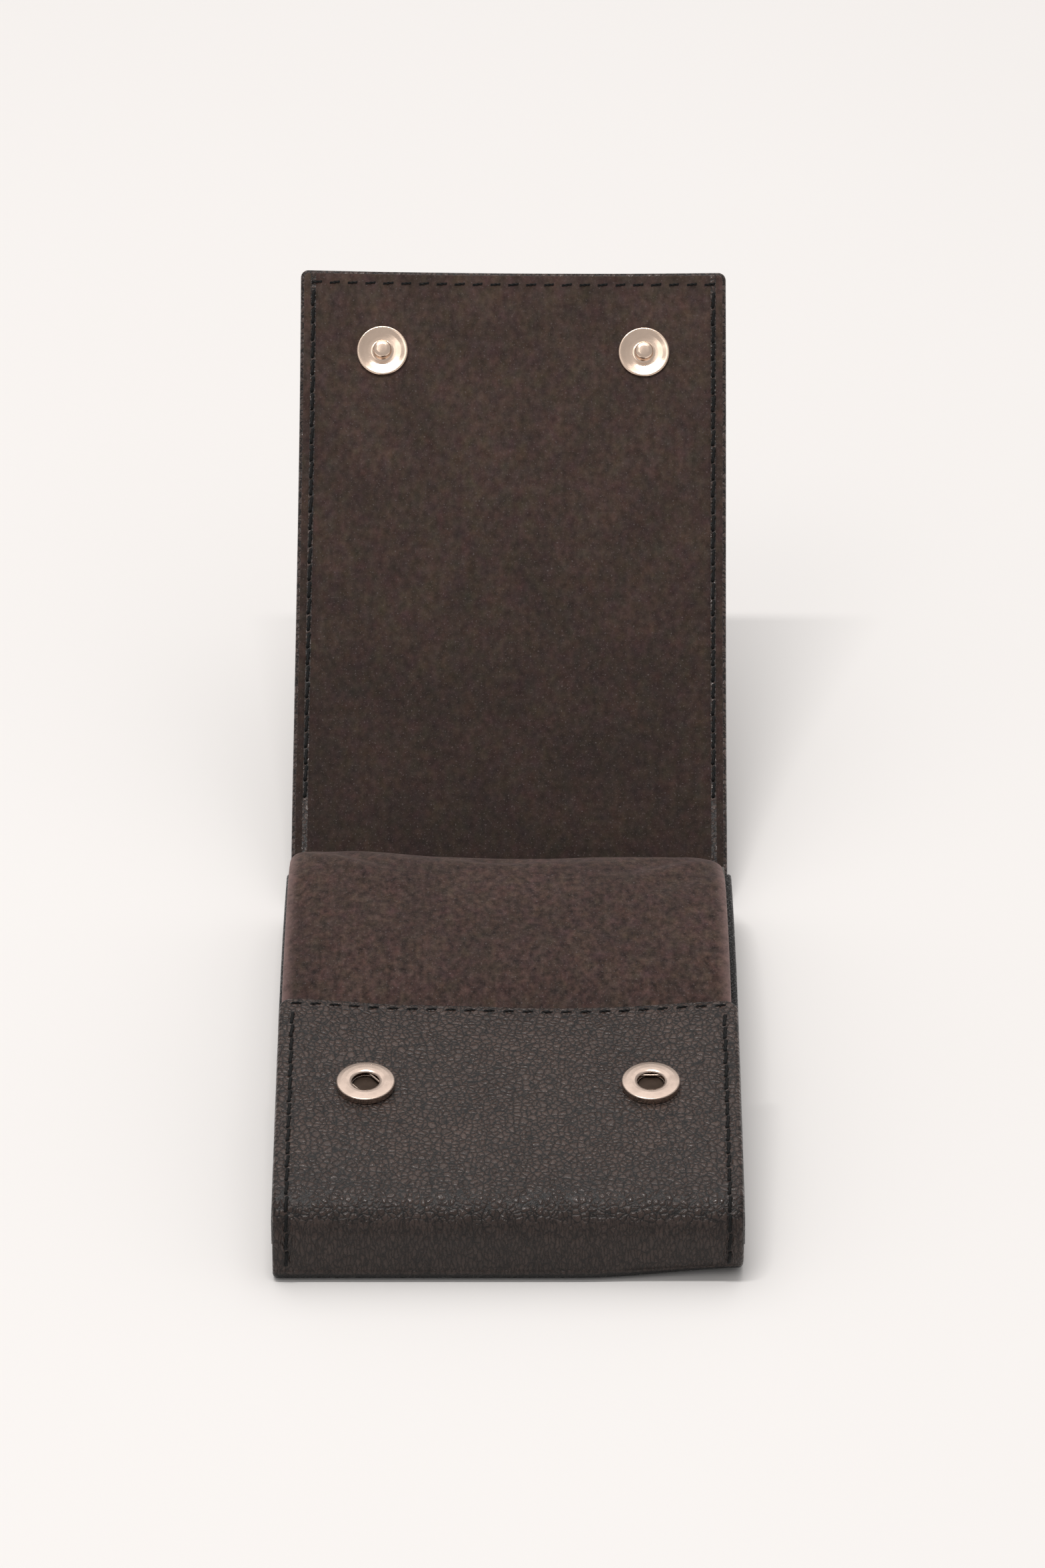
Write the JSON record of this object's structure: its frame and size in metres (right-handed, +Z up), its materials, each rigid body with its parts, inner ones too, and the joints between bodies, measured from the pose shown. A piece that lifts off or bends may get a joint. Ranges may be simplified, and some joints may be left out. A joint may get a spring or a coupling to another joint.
{
  "type": "jewelry box",
  "caption": "Flat travel jewelry box: a stitched leather wrap with snap flaps folds over a padded suede sleeve that holds a sliding drawer.",
  "frame": {"origin": "on the table, under the middle of the box", "axes": "+X to the right across the wrap, -Y towards the front flap with the sockets, +Y towards the open closing flap, +Z up"},
  "size_m": [0.1008, 0.2734, 0.1051],
  "materials": {
    "leather": "pebbled grain, satin",
    "end_leather": "fine grain, satin",
    "suede_lining": "short nap microfibre suede",
    "sleeve_suede": "short nap microfibre suede",
    "drawer_suede": "short nap microfibre suede",
    "thread": "waxed thread",
    "snap_metal": "polished nickel plate",
    "spring_steel": "drawn wire",
    "board": "grey board",
    "tray_board": "paper covered board",
    "foam": "soft foam"
  },
  "bodies": {
    "case": {"base_leather": "leather", "base_board": "board", "base_lining": "suede_lining", "sleeve_suede": "sleeve_suede", "sleeve_foam": "foam", "sleeve_board": "board"},
    "back_wall": {"back_wall_leather": "leather", "back_wall_board": "board", "back_wall_lining": "suede_lining", "back_wall_stitching": "thread"},
    "closing_flap": {"flap_leather": "leather", "flap_board": "board", "flap_lining": "suede_lining", "flap_stitching": "thread", "stud_left": "snap_metal", "stud_right": "snap_metal", "stud_rivet_left": "snap_metal", "stud_rivet_right": "snap_metal"},
    "front_wall": {"front_wall_leather": "leather", "front_wall_board": "board", "front_wall_lining": "suede_lining", "front_wall_stitching": "thread"},
    "front_flap": {"front_flap_leather": "leather", "front_flap_board": "board", "front_flap_lining": "suede_lining", "front_flap_stitching": "thread", "socket_left": "snap_metal", "socket_right": "snap_metal", "socket_spring_left": "spring_steel", "socket_spring_right": "spring_steel", "socket_rivet_left": "snap_metal", "socket_rivet_right": "snap_metal"},
    "drawer": {"drawer_tray": "tray_board", "drawer_lining": "drawer_suede", "drawer_end_left": "end_leather", "drawer_end_right": "end_leather", "divider_long_back": "drawer_suede", "divider_long_front": "drawer_suede", "divider_cross_back": "drawer_suede", "divider_cross_front": "drawer_suede", "ring_roll_1": "drawer_suede", "ring_roll_2": "drawer_suede", "ring_roll_3": "drawer_suede", "earring_cushion": "drawer_suede"}
  },
  "joints": [
    {"name": "back_fold", "type": "hinge", "parent": "case", "child": "back_wall", "pos_m": [0, 0.077, 0.0022], "axis": [1, 0, 0], "range_deg": [-34, 50]},
    {"name": "flap_fold", "type": "hinge", "parent": "back_wall", "child": "closing_flap", "pos_m": [0, 0.09428, 0.0167], "axis": [1, 0, 0], "range_deg": [-3, 88.67]},
    {"name": "front_fold", "type": "hinge", "parent": "case", "child": "front_wall", "pos_m": [0, -0.07644, 0.00076], "axis": [1, 0, 0], "range_deg": [0, 90]},
    {"name": "front_flap_fold", "type": "hinge", "parent": "front_wall", "child": "front_flap", "pos_m": [0, -0.07496, 0.01566], "axis": [1, 0, 0], "range_deg": [0, 78]},
    {"name": "drawer_slide", "type": "slide", "parent": "case", "child": "drawer", "axis": [1, 0, 0], "range_m": [-0.08, 0.08]}
  ]
}
